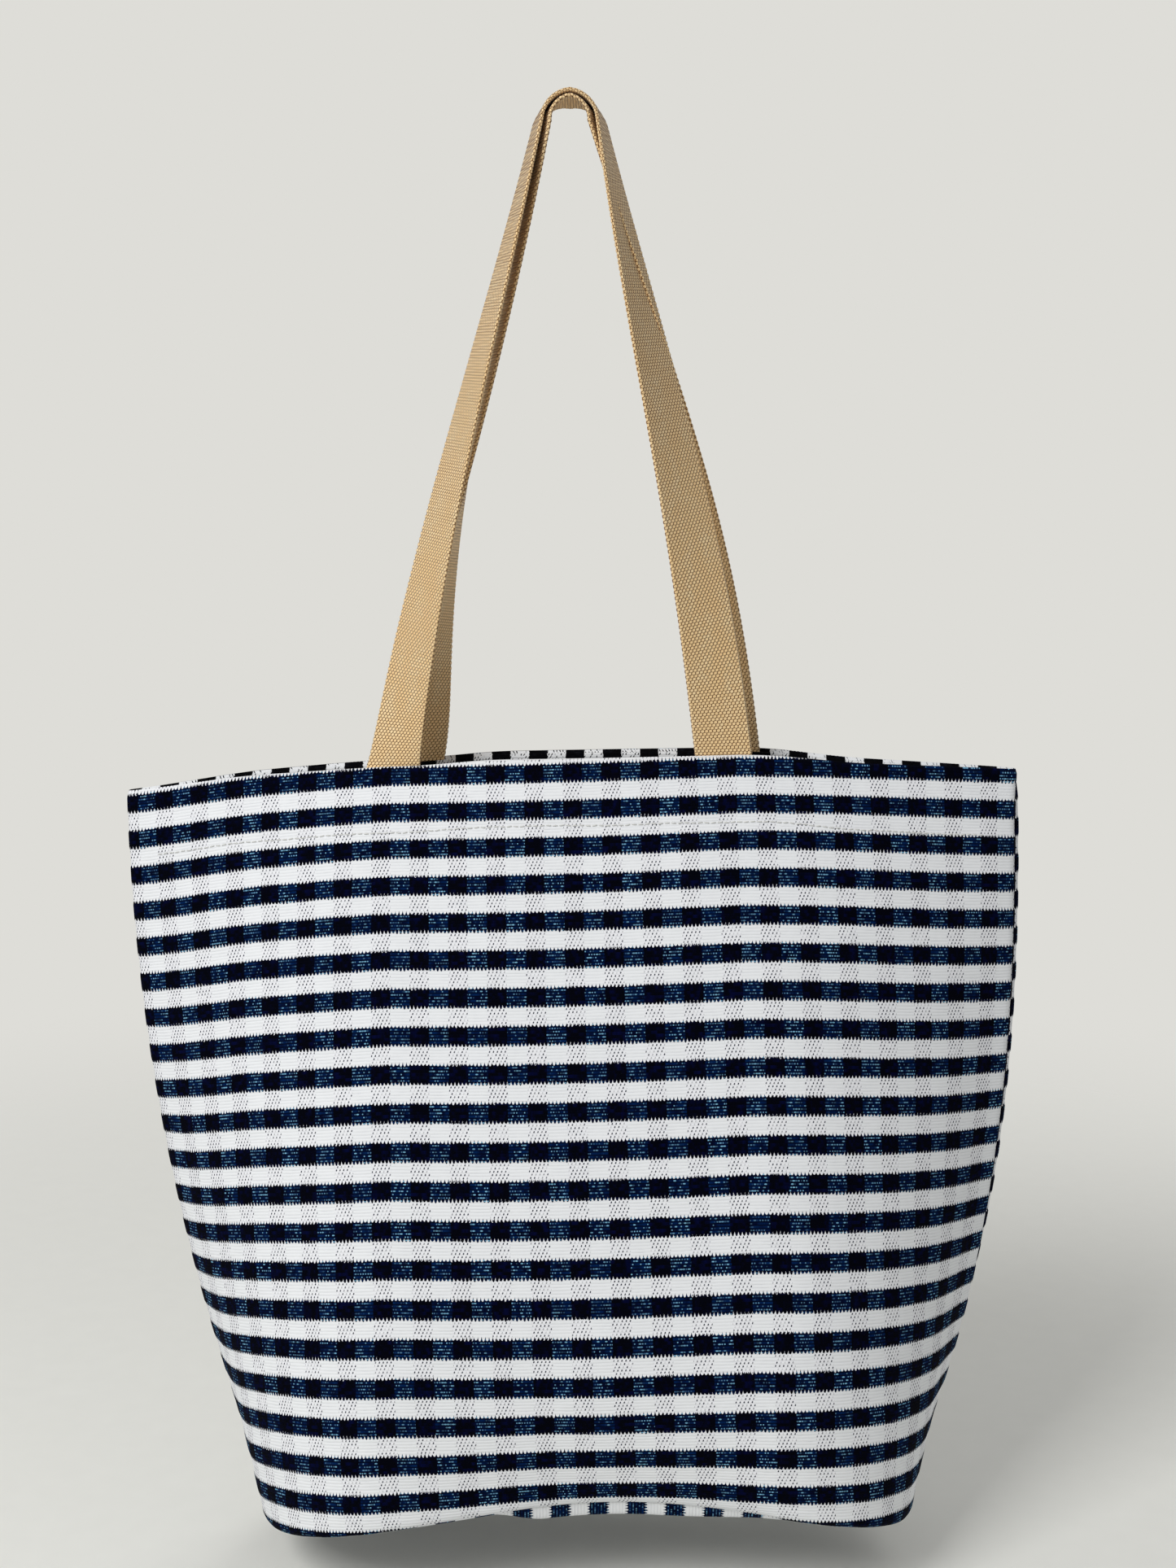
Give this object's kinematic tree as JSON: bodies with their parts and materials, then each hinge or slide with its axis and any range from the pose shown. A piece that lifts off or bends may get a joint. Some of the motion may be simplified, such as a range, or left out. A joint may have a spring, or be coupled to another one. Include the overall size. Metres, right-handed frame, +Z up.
{
  "type": "beach bag",
  "caption": "Open woven check tote with a flat rectangular base, hanging by two webbing shoulder straps that fold outward over the rim.",
  "frame": {"origin": "the hanging point: middle of the underside of the inner strap loop, where a hook or knob carries the bag", "axes": "+Z up, +X to the right seen from the front, front panel faces -Y"},
  "size_m": [0.462, 0.145, 0.7329],
  "materials": {
    "check_cloth": "weft-faced woven cotton check: navy and white weft stripes over black and white warp, 10 mm squares, matt",
    "cloth_reverse": "reverse of the same cloth: black and white-flecked squares, matt",
    "webbing": "beige ribbed cotton webbing with beaded edges, soft sheen",
    "thread": "white sewing thread",
    "overcast_thread": "white overcast thread over two cloth edges"
  },
  "bodies": {
    "bag": {"front_panel": "check_cloth", "back_panel": "check_cloth", "base_panel": "check_cloth", "front_facing": "cloth_reverse", "back_facing": "cloth_reverse", "left_side_seam": "overcast_thread", "right_side_seam": "overcast_thread", "base_seam": "overcast_thread", "front_hem_stitching": "thread", "back_hem_stitching": "thread", "front_strap_end_left": "webbing", "front_strap_tack_left": "thread", "front_strap_end_right": "webbing", "front_strap_tack_right": "thread", "back_strap_end_left": "webbing", "back_strap_tack_left": "thread", "back_strap_end_right": "webbing", "back_strap_tack_right": "thread"},
    "front_strap": {"front_strap": "webbing"},
    "back_strap": {"back_strap": "webbing"}
  },
  "joints": [
    {"name": "front_strap_fold", "type": "hinge", "parent": "bag", "child": "front_strap", "pos_m": [0, -0.02834, -0.333], "axis": [1, 0, 0], "range_deg": [0, 155]},
    {"name": "back_strap_fold", "type": "hinge", "parent": "bag", "child": "back_strap", "pos_m": [0, 0.02054, -0.333], "axis": [-1, 0, 0], "range_deg": [0, 165]}
  ]
}
